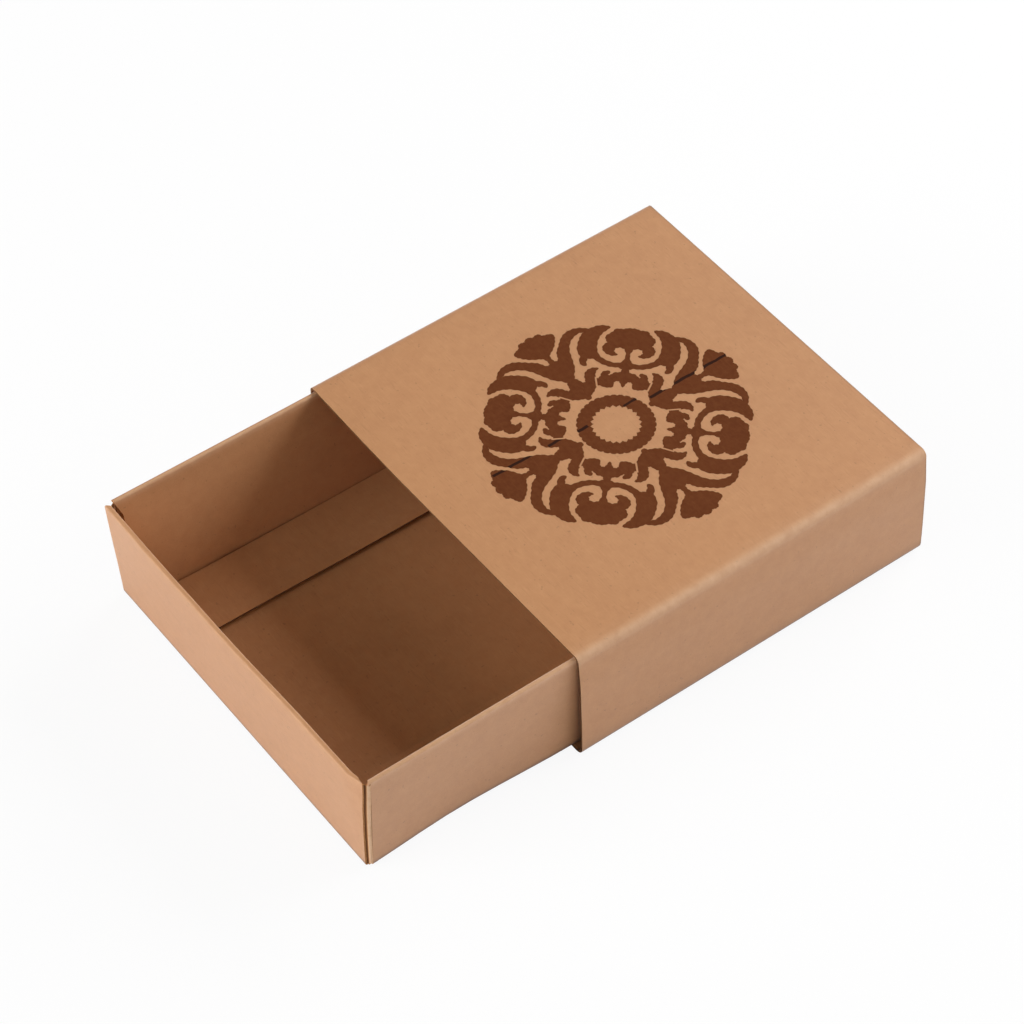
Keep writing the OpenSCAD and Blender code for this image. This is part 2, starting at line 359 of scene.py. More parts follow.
kraft = {
    "paper": (0.485, 0.213, 0.073, 1),
    "dark": (0.37, 0.150, 0.046, 1),
    "pale": (0.585, 0.285, 0.112, 1),
    # a worn crease's pale colour, which also serves as a painted highlight, and the colour of painted shade
    "wornAndHighlight": (0.74, 0.48, 0.30, 1),
    "paintedShade": (0.135, 0.05, 0.018, 1),
    # patches: their size in mm, detail and roughness, the levels between which they come up, and how much
    # of each shows in the colour
    "cloud": (26, 3, 0.55), "cloudLevels": (0.3, 0.7), "cloudShare": 0.22,
    "mottle": (2.6, 4, 0.62), "mottleLevels": (0.28, 0.72), "mottleShare": 0.42,
    "specks": (0.9, 1), "speckLevels": (0.72, 0.78), "speckShade": 0.7, "speckShare": 0.45,
    "grain": (0.45, 2, 0.6),
    # fibres: how they are turned in degrees, their length and width in mm, and the share of the surface
    "paleFibres": [((0, 0, 8), 5.0, 0.42, 0.06), ((12, 20, 62), 3.6, 0.36, 0.05),
                   ((-20, 8, 118), 3.0, 0.34, 0.05)],
    "darkFibres": ((5, -14, 151), 3.4, 0.33, 0.045),
    "paleFibreShare": 0.2, "darkFibreShare": 0.32,
    "wearAndHighlightAll": 0.35, "wearAndHighlightMottle": 0.9,  # how pale a worn crease with its painted highlight is all along, and how much more in patches
    # how much the worn colour with its painted highlight shows, and how much the painted shade
    "wearAndHighlightShare": 0.5, "paintedShadeShare": 0.95,
    "roughness": 0.52, "grainRoughness": 0.12, "rubbedSmoothness": 0.05,
    "ior": 1.5, "specular": 0.5, "sheen": 0.4, "sheenRoughness": 0.5,
    # bumps: how deep they are in mm, how strong, and what each kind adds to them
    "relief": 0.06, "bump": 0.35, "grainHeight": 0.5, "mottleHeight": 0.35, "fibreHeight": 0.12,
    "creaseHeight": 0.6, "creaseRuckle": 0.7,  # mm, how wide the small ruckles on a crease are
}


def makeKraft(name, sheen=kraft["sheen"], specular=kraft["specular"]):
    material, paint = newFinish(name)
    place = paint.place()
    cloud = paint.noise(place, *kraft["cloud"])
    mottle = paint.noise(place, *kraft["mottle"])
    grain = paint.noise(place, *kraft["grain"])
    along, across, slant = (paint.fibres(place, *fibre) for fibre in kraft["paleFibres"])
    paleFibres = along + across + slant
    darkFibres = paint.fibres(place, *kraft["darkFibres"])
    specks = paint.ramp(paint.noise(place, *kraft["specks"]), *kraft["speckLevels"])

    cloudy = paint.ramp(cloud, *kraft["cloudLevels"]) * kraft["cloudShare"]
    mottled = paint.ramp(mottle, *kraft["mottleLevels"]) * kraft["mottleShare"]
    colour = paint.blend(cloudy, kraft["paper"], kraft["dark"])
    colour = paint.blend(mottled, colour, kraft["pale"])
    colour = paint.blend(paleFibres * kraft["paleFibreShare"], colour, kraft["pale"])
    colour = paint.blend(darkFibres * kraft["darkFibreShare"], colour, kraft["dark"])
    colour = paint.blend(specks * kraft["speckShare"], colour, tint(kraft["dark"], kraft["speckShade"]))
    # the crease attribute paints, above 0, a worn crease's paler colour with a painted highlight, and below 0
    # painted shade in creases and gaps and a painted dark back edge
    crease = paint.node("ShaderNodeAttribute", {"attribute_name": "crease"}, output="Fac")
    creaseMark = crease * (kraft["wearAndHighlightAll"] + mottle * kraft["wearAndHighlightMottle"])
    colour = paint.blend(creaseMark * kraft["wearAndHighlightShare"], colour, kraft["wornAndHighlight"])
    # painted shade where the crease attribute is below 0
    colour = paint.blend(crease * -kraft["paintedShadeShare"], colour, kraft["paintedShade"])

    height = grain * kraft["grainHeight"] + mottle * kraft["mottleHeight"] + paleFibres * kraft["fibreHeight"]
    height = height + crease * paint.noise(place, kraft["creaseRuckle"]) * kraft["creaseHeight"]
    roughness = kraft["roughness"] + (grain - noiseMiddle) * kraft["grainRoughness"]
    roughness = roughness - creaseMark * kraft["rubbedSmoothness"]
    paint.finish({"Base Color": colour, "Roughness": roughness,
                  "Normal": paint.bump(height, kraft["bump"], kraft["relief"]),
                  "IOR": kraft["ior"], "Specular IOR Level": specular, "Sheen Weight": sheen,
                  "Sheen Roughness": kraft["sheenRoughness"]})
    return material


cutEdge = {
    "core": (0.35, 0.155, 0.055, 1),
    # patches and bumps, as above
    "plies": (0.22, 2, 0.6), "plyLevels": (0.35, 0.65),
    "burr": (1.1, 3, 0.6), "burrLevels": (0.4, 0.7), "burrShare": 0.35,
    "roughness": 0.8, "burrRoughness": 0.1, "specular": 0.25,
    "relief": 0.08, "bump": 0.5, "burrHeight": 0.5,
}


def makeCutEdge(name, shade=1):
    # a cut edge shows the plies of the board as fine lines
    material, paint = newFinish(name)
    place = paint.place()
    plies = paint.noise(place, *cutEdge["plies"])
    burr = paint.noise(place, *cutEdge["burr"])
    core, pale, dark = (tint(colour, shade) for colour in (cutEdge["core"], kraft["pale"], kraft["dark"]))
    colour = paint.blend(paint.ramp(plies, *cutEdge["plyLevels"]), core, pale)
    colour = paint.blend(paint.ramp(burr, *cutEdge["burrLevels"]) * cutEdge["burrShare"], colour, dark)
    height = plies + burr * cutEdge["burrHeight"]
    paint.finish({"Base Color": colour, "Roughness": cutEdge["roughness"] + burr * cutEdge["burrRoughness"],
                  "Normal": paint.bump(height, cutEdge["bump"], cutEdge["relief"]),
                  "Specular IOR Level": cutEdge["specular"]})
    return material


ink = {
    "colour": (0.128, 0.035, 0.010, 1),
    "thin": (0.172, 0.054, 0.018, 1),
    "dark": (0.092, 0.024, 0.007, 1),
    "streak": (0.022, 0.008, 0.005, 1),
    # where a darker streak runs along the print: across, from, to and half its width, in mm
    "streaks": [(-0.6, 10, 32, 0.38), (-2.2, 3.6, 7.4, 0.34), (-2.2, -10, -6.2, 0.36), (-2.7, -17, -13, 0.38),
                (-2.9, -32, -21, 0.38)],
    "streakShare": 0.92,  # how strong they are
    "streakWaver": 0.6, "waverSize": 2.5,  # mm, how far their edges stray, and over what length
    # patches, fibres and bumps, as above
    "cloud": (18, 2), "cloudLevels": (0.35, 0.65), "cloudShare": 0.3,
    "mottle": (1.4, 3, 0.6), "mottleLevels": (0.35, 0.72), "mottleShare": 0.5,
    "fibres": [((0, 0, 20), 2.4, 0.3, 0.05), ((0, 0, 105), 2.0, 0.28, 0.05)], "fibreShare": 0.35,
    "roughness": 0.7, "mottleRoughness": 0.08, "specular": 0.06,
    "relief": 0.04, "bump": 0.25,
}


def makeInk(name):
    # printed brown ink that lets a little of the paper's fibres show
    material, paint = newFinish(name)
    place = paint.place()
    cloud = paint.noise(place, *ink["cloud"])
    mottle = paint.noise(place, *ink["mottle"])
    along, across = (paint.fibres(place, *fibre) for fibre in ink["fibres"])
    cloudy = paint.ramp(cloud, *ink["cloudLevels"]) * ink["cloudShare"]
    mottled = paint.ramp(mottle, *ink["mottleLevels"]) * ink["mottleShare"]
    colour = paint.blend(cloudy, ink["colour"], ink["dark"])
    colour = paint.blend(mottled, colour, ink["thin"])
    colour = paint.blend((along + across) * ink["fibreShare"], colour, ink["thin"])
    waver = (paint.noise(place, ink["waverSize"]) - noiseMiddle) * (ink["streakWaver"] * mm)
    x, y = (paint.node("ShaderNodeSeparateXYZ", {}, {0: place}, axis) + waver for axis in ("X", "Y"))
    for middle, start, end, half in ink["streaks"]:
        inWidth = paint.maths("COMPARE", x, middle * mm, half * mm)
        inLength = paint.maths("COMPARE", y, (start + end) / 2 * mm, (end - start) / 2 * mm)
        colour = paint.blend(inWidth * inLength * ink["streakShare"], colour, ink["streak"])
    paint.finish({"Base Color": colour, "Roughness": ink["roughness"] + mottle * ink["mottleRoughness"],
                  "Normal": paint.bump(mottle, ink["bump"], ink["relief"]),
                  "Specular IOR Level": ink["specular"]})
    return material


print("Mixing the finishes")
kraftOutside = makeKraft("kraftOutside")
kraftTucked = makeKraft("kraftTucked", sheen=0.0, specular=0.1)
kraftCut = makeCutEdge("kraftCutEdge")
# a darker cut edge, partly the board's own and partly painted shade of the gaps beside it: under the floor
# flaps' free edges and at the sleeve's mouth
kraftDarkAndShadedCut = makeCutEdge("kraftDarkAndShadedEdge", shade=0.35)
brownInk = makeInk("brownInk")


sleeve = {
    "halfWidth": 50, "halfLength": 48.5, "height": 32,
    "creases": [1.4, 2.2, 1.4, 1.4],  # mm, the radius of each, from the glue flap round
    "marks": [-1.4, -2.2, 1.5, -0.3], "markReach": 1.5,  # above 0 how worn and lit with a painted highlight, below 0 how deep the painted shade, each of them is; the two lower ones and the upper left one are shaded
    "glueFlapHeight": 16, "glueFlapEnd": 47, "glueFlapFreeEnd": 42, "glueGap": 0.02,  # mm
    "slices": (6, 16), "backCut": 48.0, "darkEdgeFrom": 48.2,  # mm, where the painted dark line along the back edge begins
    "bulge": [0.9, 0.8, 0.5, 0.15, -0.65],  # mm, outwards, up the right side in even steps
    "mouthSag": 0.2, "mouthBow": 0.45, "mouthReach": 12,  # mm, the top panel's front edge, down and out
    "mouthPlaces": [-50, -38, -14, 20, 50], "mouthShares": [0, 0.5, 1, 0.45, 0],
}


def buildSleeve():
    w, h, front, back = sleeve["halfWidth"], sleeve["height"], -sleeve["halfLength"], sleeve["halfLength"]
    end, free, radius = sleeve["glueFlapEnd"], sleeve["glueFlapFreeEnd"], sleeve["creases"][0]
    flapX = -w + boardThickness + sleeve["glueGap"]
    path = [(flapX, sleeve["glueFlapHeight"]), (flapX, 0), (w, 0), (w, h), (-w, h), (-w, 0)]
    board = foldBoard("sleeveBoard", path, sleeve["creases"], (front, back), sleeve["slices"],
                      (-end, end, sleeve["backCut"]))

    # the glue flap stops short of the ends and narrows to its free edge
    def onGlueFlap(middle):
        inward = middle.x - flapX
        fromRound = math.hypot(inward - radius, middle.z - radius)
        onCrease = -near < inward < radius + near and fromRound < radius + near
        return onCrease or (abs(inward) < near and middle.z < sleeve["glueFlapHeight"])
    dropFaces(lambda middle: onGlueFlap(middle) and abs(middle.y) > end)
    slope = (end - free) / (sleeve["glueFlapHeight"] - radius)
    for way in (-1, 1):
        cut(lambda middle: abs(middle.x - flapX) < near and middle.z > radius,
            (flapX, way * end, radius), (0, way, slope), drop=True)
    markCreases(board, path, sleeve["marks"], sleeve["markReach"], darkEdgeFrom=sleeve["darkEdgeFrom"])
    # its cut edges are darker, partly the board's own edge and partly painted shade of the gap at the mouth
    thicken(board, kraftOutside, kraftDarkAndShadedCut)

    bulge = steps([h * k / 4 for k in range(5)], sleeve["bulge"])
    warp([board], (-w, front, 0), (w, back, h), (2, 2, 5), lambda p: (bulge(p.z) if p.x > 0 else 0, 0, 0))
    share = steps(sleeve["mouthPlaces"], sleeve["mouthShares"])
    warp([board], (-w, front, 0), (w, front + sleeve["mouthReach"], h), (9, 3, 2),
         lambda p: (0, -sleeve["mouthBow"] * share(p.x), -sleeve["mouthSag"] * share(p.x))
         if p.z > h / 2 and p.y < front + rowGap else (0, 0, 0))
    smooth(board)
    return board


ornament = {
    "middle": (1.2, -0.9, 0), "under": 32, "thickness": 0.04, "proud": 0.03,  # mm
    "toothDepth": 0.28,  # mm, round the ring's outer edge
    "roundWithin": 0.05,  # mm, how much the ring's radius may vary
    "weld": 0.002,  # mm, how close points of the filled outline become one
    "tipAngle": 50,  # degrees, a sharper turn of the outline keeps its tip
    "curveSteps": 5,  # between two points of the outline
    "slit": [(3.6, 11.7), (5.15, 14.25)], "slitWidth": 0.42,  # mm, one of eight, from the ornament's middle
    "scallop": 0.15, "scallopShare": 0.12,  # how far the leaves' edges bulge: in mm, and at most of the step
    "scallopFrom": 0.5, "scallopTo": 3,  # mm, how long a step of the outline is that gets one
}


def smoothOutline(outline):
    # rounds the drawn outline and keeps its sharp tips; the ring's round edge gets small teeth
    middle = Vector(ornament["middle"]) * mm
    for spline in outline.data.splines:
        points = spline.bezier_points
        reach = [(point.co.to_3d() - middle).xy.length / mm for point in points]
        if max(reach) - min(reach) < ornament["roundWithin"]:
            for point in points.values()[::2]:
                point.co.xy = middle.xy + (point.co.xy - middle.xy) * (1 - ornament["toothDepth"] / reach[0])
        places = [point.co.copy() for point in points]
        for k, point in enumerate(points):
            before = places[k] - places[k - 1]
            after = places[(k + 1) % len(places)] - places[k]
            kind = "VECTOR" if before.angle(after, 0) > math.radians(ornament["tipAngle"]) else "AUTO"
            point.handle_left_type = point.handle_right_type = kind


def isInside(place, ring):
    crossings = [a for a, b in zip(ring, ring[1:] + ring[:1]) if (a.y > place.y) != (b.y > place.y)
                 and place.x < a.x + (b.x - a.x) * (place.y - a.y) / (b.y - a.y)]
    return len(crossings) % 2 == 1


def scallopOutline(outline):
    # each point that subdividing added moves out of the ink a little, into a hole where the outline is one
    rings = [[point.co.xy.copy() for point in spline.bezier_points] for spline in outline.data.splines]
    for spline, places in zip(outline.data.splines, rings):
        points = spline.bezier_points
        hole = sum(isInside(places[0], ring) for ring in rings if ring is not places) % 2 == 1
        turnsLeft = sum(a.cross(b) for a, b in zip(places, places[1:] + places[:1])) > 0
        for k in range(1, len(points), 2):
            along = places[(k + 1) % len(points)] - places[k - 1]
            if ornament["scallopFrom"] < along.length / mm < ornament["scallopTo"]:
                out = Vector((along.y, -along.x)).normalized() * (1 if turnsLeft != hole else -1)
                bulge = min(ornament["scallop"] * mm, along.length * ornament["scallopShare"])
                points[k].co.xy = places[k] + out * bulge
                points[k].handle_left_type = points[k].handle_right_type = "AUTO"


def traceOutline():
    # the edge of the printed shape's upper face, as a curve
    drawn = copyPiece(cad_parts["ornament_print"], "ornamentInk")
    drawn.parent = None
    for key in list(drawn.keys()):
        del drawn[key]
    drawn.data.materials.clear()
    top = max(vertex.co.z for vertex in drawn.data.vertices) / mm
    editAll()
    bpy.ops.mesh.remove_doubles(threshold=near * mm)
    dropFaces(lambda middle: middle.z < top - near)
    bpy.ops.mesh.select_all(action="SELECT")
    bpy.ops.mesh.region_to_loop()
    bpy.ops.mesh.select_mode(type="EDGE")
    bpy.ops.mesh.select_all(action="INVERT")
    bpy.ops.mesh.delete(type="EDGE")
    leaveEdit()
    bpy.ops.object.convert(target="CURVE")
    return bpy.context.object


def buildFilm():
    outline = traceOutline()
    bpy.ops.object.mode_set(mode="EDIT")
    bpy.ops.curve.select_all(action="SELECT")
    bpy.ops.curve.spline_type_set(type="BEZIER")
    leaveEdit()
    outline.data.resolution_u = ornament["curveSteps"]
    smoothOutline(outline)
    bpy.ops.object.mode_set(mode="EDIT")
    bpy.ops.curve.select_all(action="SELECT")
    bpy.ops.curve.subdivide()
    leaveEdit()
    scallopOutline(outline)
    outline.data.dimensions = "2D"
    outline.data.fill_mode = "BOTH"
    bpy.ops.object.convert(target="MESH")
    film = bpy.context.object
    film.name = film.data.name = "ornamentInk"
    film.data.materials.clear()
    film.data.materials.append(brownInk)
    placePiece(film, (0, 0, ornament["under"] + ornament["proud"]))
    editAll()
    bpy.ops.mesh.remove_doubles(threshold=ornament["weld"] * mm)
    bpy.ops.mesh.normals_make_consistent(inside=False)
    if openMesh().faces[0].normal.z < 0:
        bpy.ops.mesh.flip_normals()
    # the fill's thinnest triangles are turned into fuller ones
    bpy.ops.mesh.beautify_fill(angle_limit=math.pi)
    leaveEdit()
    applyModifier(film, "SOLIDIFY", thickness=ornament["thickness"] * mm, offset=-1)
    return film


def buildSlits():
    # eight bars that cut the small crowns from the stems, as one cutter
    start, end = (Vector(place) for place in ornament["slit"])
    middle = Vector(ornament["middle"]) + Vector((0, 0, ornament["under"]))
    bars = []
    for turn in range(8):
        bpy.ops.mesh.primitive_cube_add(size=1, location=((start + end) / 2 * mm).to_3d(),
                                        rotation=(0, 0, math.atan2(end.y - start.y, end.x - start.x)))
        bar = bpy.context.object
        bar.scale = ((end - start).length * mm, ornament["slitWidth"] * mm, mm)
        bpy.ops.object.transform_apply(location=True, rotation=True, scale=True)
        bar.scale = (1 if turn % 2 else -1, 1, 1)
        placePiece(bar, middle, (0, 0, turn // 2 * 90))
        bars.append(bar)
    for bar in bars:
        bar.select_set(True)
    bpy.ops.object.join()
    editAll()
    bpy.ops.mesh.normals_make_consistent(inside=False)
    leaveEdit()
    return bpy.context.object


print("Folding the sleeve")
sleeveBoard = buildSleeve()
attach(sleeveBoard, "sleeve")
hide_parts("sleeve_top_panel", "sleeve_right_side", "sleeve_bottom_panel", "sleeve_left_side",
            "sleeve_glue_flap")

print("Printing the ornament")
ornamentInk = buildFilm()
slits = buildSlits()
applyModifier(ornamentInk, "BOOLEAN", object=slits, operation="DIFFERENCE", solver="EXACT")
bpy.data.objects.remove(slits)
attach(ornamentInk, "sleeve")
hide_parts("ornament_print")


tray = {
    "halfWidth": 48.5, "length": 97, "height": 30.5,
    "crease": 0.79, "rimRound": 0.5, "sideRim": 1.1,  # mm, the creases' radii and how wide a side's rim is
    "rightLean": 1.8, "leftLean": 5.5,  # mm, how far in an inner wall's foot stands
    "floorStart": 0.8, "outerStart": 1.4, "rimStart": 0.6, "innerStart": 2.1,  # mm from each end of the tray
    "slotMiddle": 23, "slotHalf": 6.15, "slotFrom": 1.05, "slotTo": 1.71,
    "rimSlant": {1: 0.9, -1: 0.05},  # mm, how much sooner a side's rim ends at its inner edge, right and left
    "innerDrop": 4.5, "innerCutTop": 0.4,  # mm below the rim, from where to where an inner wall's end slants
    "endReach": 6,  # mm from an end, within which its trims are made
    # marks, from the left rim's inner crease round: above 0 a worn crease with a painted highlight, below 0
    # painted shade on the left rim's outer crease and on both feet
    "slices": (5, 14), "marks": [1, -0.3, -1.4, -1.4, 1, 1],
}
wallTop = tray["height"] - tray["rimRound"]  # mm, where a wall's flat part ends


def buildTray():
    w, length, h = tray["halfWidth"], tray["length"], tray["height"]
    rim, rimRound, crease, foot = w - tray["sideRim"], tray["rimRound"], tray["crease"], boardThickness
    path = [(-rim + tray["leftLean"], foot), (-rim, h), (-w, h), (-w, 0), (w, 0), (w, h), (rim, h),
            (rim - tray["rightLean"], foot)]
    trims = [tray[key] for key in ("floorStart", "outerStart", "innerStart", "slotFrom", "slotTo")]
    board = foldBoard("trayBoard", path, [rimRound, rimRound, crease, crease, rimRound, rimRound],
                      (tray["rimStart"], length - tray["rimStart"]), tray["slices"],
                      trims + [length - trim for trim in trims])

    def onFloor(p):
        return p.z < 2 * near

    def onInnerWall(p):
        return abs(p.x) < rim + near and p.z > foot

    def past(p, start):
        return p.y < start or p.y > length - start
    dropFaces(lambda p: onFloor(p) and abs(p.x) < w - crease and past(p, tray["floorStart"]))
    dropFaces(lambda p: abs(p.x) > w - crease and p.z < wallTop and past(p, tray["outerStart"]))
    dropFaces(lambda p: onInnerWall(p) and p.z < h - tray["innerDrop"] and past(p, tray["innerStart"]))

    # each rim is cut off slanting at its ends, and each inner wall from the rim's end down to its own
    for end, way in ((tray["rimStart"], -1), (length - tray["rimStart"], 1)):
        for side in (-1, 1):
            cut(lambda p: p.z > wallTop and p.x * side > 0 and abs(p.y - end) < tray["endReach"],
                (side * w, end, 0), (-side * tray["rimSlant"][side], way * tray["sideRim"], 0), drop=True)
        cut(lambda p: onInnerWall(p) and tray["innerCutTop"] < h - p.z < tray["innerDrop"]
            and abs(p.y - end) < tray["endReach"],
            (0, end, h), (0, way * tray["innerDrop"], tray["rimStart"] - tray["innerStart"]), drop=True)

    # four slots in the floor take the tabs of the end walls
    for side in (-1, 1):
        for edge in (-tray["slotHalf"], tray["slotHalf"]):
            cut(onFloor, (side * tray["slotMiddle"] + edge, 0, 0), (1, 0, 0))
    dropFaces(lambda p: onFloor(p) and abs(abs(p.x) - tray["slotMiddle"]) < tray["slotHalf"]
              and tray["slotFrom"] < min(p.y, length - p.y) < tray["slotTo"])
    markCreases(board, path, tray["marks"])
    placePiece(board, trayPlace)
    thicken(board, kraftOutside, kraftCut)
    return board


endWall = {
    "rim": 1.7, "half": 47.8, "innerHalf": 47.6, "hem": 0.8,  # mm; the hem is the outer wall's turned-in foot
    "leftMitre": 0.9, "rightMitre": 2.2,  # mm, how much the ends of its rim slant
    "innerSlantFrom": 18, "innerSlantFaces": 12,  # mm up, from where the inner wall narrows
    "rightFootTrim": 0.6, "endFrom": 40,  # mm off the middle, past which the end trims are made
    "footHeight": 1.7, "tabHalf": 6,
    # marks: the rim's two creases a little worn with a painted highlight, the foot crease painted shade
    "slices": (5, 24), "marks": [0.3, 0.3, -1.4], "markReach": 0.9,
}


def buildEndWall(name):
    # drawn as if it were a side, with y running inwards along x, and then turned to the front
    h, rim, half, inner = tray["height"], endWall["rim"], endWall["half"], endWall["innerHalf"]
    path = [(rim, 0), (rim, h), (0, h), (0, 0), (endWall["hem"], 0)]
    tabEdges = [side * tray["slotMiddle"] + edge for side in (-1, 1)
                for edge in (-endWall["tabHalf"], endWall["tabHalf"])]
    board = foldBoard(name, path, [tray["rimRound"], tray["rimRound"], tray["crease"]], (-half, half),
                      endWall["slices"], [-inner, inner] + tabEdges)

    def onInnerWall(p):
        return p.x > rim - near and p.z < wallTop
    dropFaces(lambda p: onInnerWall(p) and abs(p.y) > inner)

    # the rim's ends are mitred, the inner wall narrows to them, and the outer wall's right edge to its foot
    slantFrom = endWall["innerSlantFrom"]
    for way, mitre in ((1, endWall["leftMitre"]), (-1, endWall["rightMitre"])):
        cut(lambda p: p.z > wallTop and p.y * way > endWall["endFrom"],
            (0, way * half, 0), (mitre, way * rim, 0), drop=True)
        cut(lambda p: onInnerWall(p) and p.z > endWall["innerSlantFaces"] and p.y * way > endWall["endFrom"],
            (0, way * inner, slantFrom), (0, way * (h - slantFrom), mitre), drop=True)
    cut(lambda p: p.x < tray["crease"] and p.z < wallTop and p.y < -endWall["endFrom"],
        (0, -half, h), (0, -h, -endWall["rightFootTrim"]), drop=True)

    # the inner wall stands on the floor, and its two tabs go on through the slots
    def onFoot(p):
        return onInnerWall(p) and p.z < endWall["footHeight"]
    cut(onFoot, (0, 0, boardThickness), (0, 0, 1))
    dropFaces(lambda p: onFoot(p) and p.z < boardThickness
              and abs(abs(p.y) - tray["slotMiddle"]) > endWall["tabHalf"])
    markCreases(board, path, endWall["marks"], endWall["markReach"])
    placePiece(board, turn=(0, 0, 90))
    return board


cornerFlap = {
    "width": 24, "taper": 3, "foot": 0.9, "top": 29.6, "plane": 0.6, "hem": 0.8,  # mm
    # mark: how worn the flap's fold is, brightened further as a painted highlight
    "slices": (4, 6), "mark": 2.8,
    "shadedFrom": 2.5, "shadedPast": 0.3,  # mm in from the tray's side, and out past the flap's crease: the strip painted with shade in the slit beside the front wall's edge
}


def buildCornerFlap(name, side):
    # drawn lying down, and then stood up; side is 1 for the right corner and -1 for the left one
    w, plane, width = tray["halfWidth"], cornerFlap["plane"], cornerFlap["width"]
    creaseX = w - tray["crease"]
    path = [(side * (creaseX - width), plane), (side * w, plane), (side * w, plane + cornerFlap["hem"])]
    if side < 0:
        path.reverse()
    foot, top = cornerFlap["foot"], cornerFlap["top"]
    board = foldBoard(name, path, [tray["crease"]], (-top, -foot), cornerFlap["slices"])
    for level, way in ((-foot, 1), (-top, -1)):
        cut(lambda p: p.z < plane + near, (side * creaseX, level, 0),
            (-side * cornerFlap["taper"] / width, way, 0), drop=True)
    # the fold gets a painted highlight, and the strip in the slit painted shade
    markCreases(board, path, [cornerFlap["mark"]],
                shaded=(w - cornerFlap["shadedFrom"], creaseX + cornerFlap["shadedPast"]))
    placePiece(board, turn=(-90, 0, 0))
    return board


floorFlap = {
    "width": 17.4, "gap": 0.1, "top": 1.1, "endGap": 3.1, "slices": (4, 12),  # mm, and even cuts
    "curl": 0.8, "curlAtEnds": 0.7, "curlMiddle": 30,  # mm, the ends' share, and mm either side of the middle
}


def buildFloorFlap(name, side, lean):
    # its upper face is the outer one, so the strip runs from right to left
    creaseX = side * (tray["halfWidth"] - tray["sideRim"] - lean)
    places = creaseX - side * floorFlap["width"], creaseX - side * floorFlap["gap"]
    path = [(max(places), floorFlap["top"]), (min(places), floorFlap["top"])]
    board = foldBoard(name, path, [], (floorFlap["endGap"], tray["length"] - floorFlap["endGap"]),
                      floorFlap["slices"])
    markCreases(board, path, [])
    placePiece(board, trayPlace)
    # its cut edges are painted dark, as the shade in the gap under its free edge
    thicken(board, kraftOutside, kraftDarkAndShadedCut)
    return board


print("Folding the tray")
trayBoard = buildTray()
frontWall = buildEndWall("frontWall")
backWall = copyPiece(frontWall, "backWall")
frontRightFlap = buildCornerFlap("frontRightCornerFlap", 1)
frontLeftFlap = buildCornerFlap("frontLeftCornerFlap", -1)
backLeftFlap = copyPiece(frontRightFlap, "backLeftCornerFlap")
backRightFlap = copyPiece(frontLeftFlap, "backRightCornerFlap")
for piece in (frontWall, frontRightFlap, frontLeftFlap):
    placePiece(piece, trayPlace)
for piece in (backWall, backLeftFlap, backRightFlap):
    placePiece(piece, trayPlace + Vector((0, tray["length"], 0)), (0, 0, 180))
for piece in (frontWall, backWall):
    thicken(piece, kraftOutside, kraftCut)
for piece in (frontRightFlap, frontLeftFlap, backLeftFlap, backRightFlap):
    thicken(piece, kraftTucked, kraftCut)
rightFloorFlap = buildFloorFlap("rightFloorFlap", 1, tray["rightLean"])
leftFloorFlap = buildFloorFlap("leftFloorFlap", -1, tray["leftLean"])


# how the tray's walls are bent, in mm where it lies in the scene
# a pair of lists gives places along a wall, and how far it moves at each
bends = {
    "leftFloorFlap": (-42.1, -24.7), "rightFloorFlap": (45.2, 28.0),  # x of the crease and of the free edge
    "leftInnerWall": (-48.1, -20.1), "leftInnerHeights": (1, 31),  # the cage round it, across and up
    "leftInnerFoot": [-1.15, 0, 0],  # at the front, the middle and the back
    "onCreaseSide": -40, "creaseSideShare": 0.4,  # the flap moves less here
    # each side's foot and top, at the front, the mouth and the back
    "mouth": -48.5, "leftFoot": [-0.12, 0, 0], "leftTop": [-0.4, 0.05, 0],
    "rightFoot": [0, 0, 0], "rightTop": [0.24, 0.24, 0.1],
    "rightOuterWall": (46, 47.6),
    "rightOuterFoot": [(-102.9, -78.6, -54.4, -30.1, -5.9), (-0.8, -1.57, -0.6, -0.3, -0.2)],
    "frontWall": (-48.2, 47.8), "press": 0.45,
    "frontLean": [(-48, -36, -24, 0, 12, 24, 36, 48), (-1.5, -1.7, -1.8, -1.8, -1.6, -1.3, -1.25, -1.2)],
    "frontWallEnd": [(42.7, 43.9, 45.2, 46.4, 47.7), (0, 0, 0.15, 0.45, 0.95)],
    "rightFlapEnd": [(44.3, 45.3, 46.3, 47.3, 48.3), (0, 0.15, 0.4, 0.85, 1.57)],
    "leftFlapEnd": [(-48.7, -47.7, -44.7), (1.87, 0.15, 0)],
    "endDepth": (-105, -100),
}


